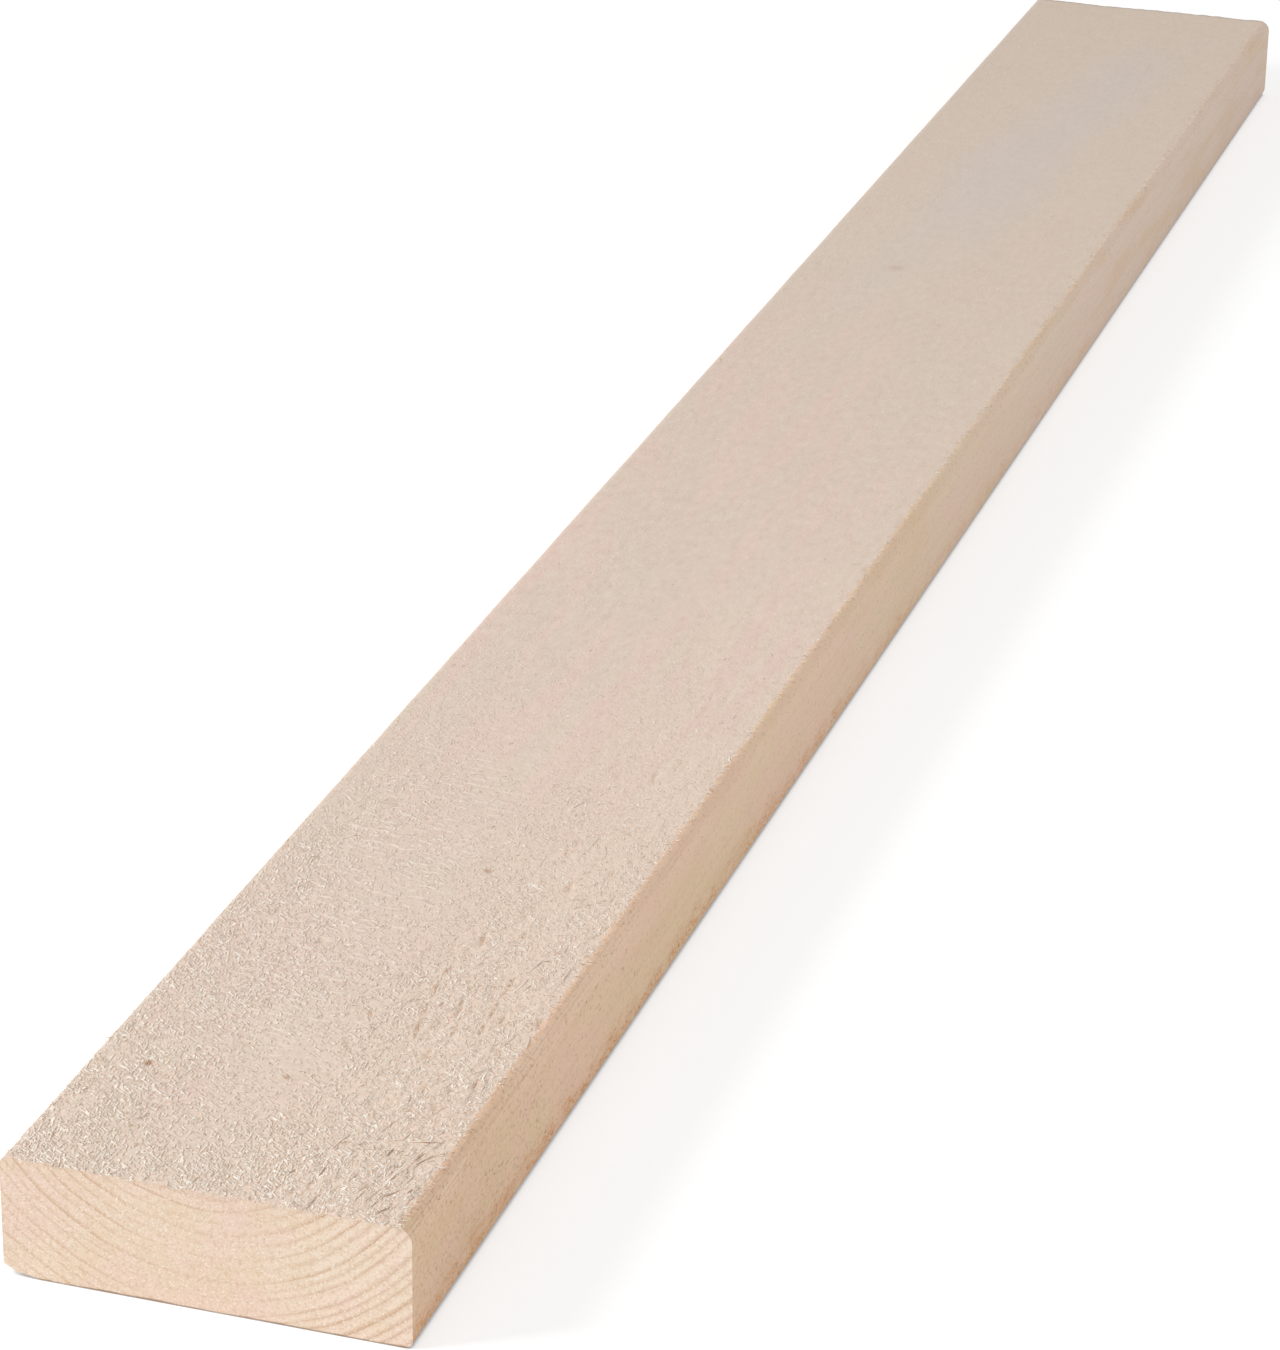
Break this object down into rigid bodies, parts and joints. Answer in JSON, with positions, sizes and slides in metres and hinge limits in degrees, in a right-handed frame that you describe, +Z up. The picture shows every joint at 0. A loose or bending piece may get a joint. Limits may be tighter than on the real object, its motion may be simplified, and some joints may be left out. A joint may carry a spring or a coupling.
{
  "type": "timber plank",
  "caption": "Straight softwood plank with rough-sawn faces, planed edges and rounded arrises, for framing and general carpentry.",
  "frame": {"origin": "middle of the wide face that the plank lies on", "axes": "+Y along the length, away from the near end; +X across the width, towards the edge with the larger top arris; +Z up through the thickness"},
  "size_m": [0.145, 1.5, 0.045],
  "materials": {
    "spruce": "rough sawn faces, planed edges, untreated"
  },
  "bodies": {
    "root": {"plank": "spruce"}
  },
  "joints": []
}
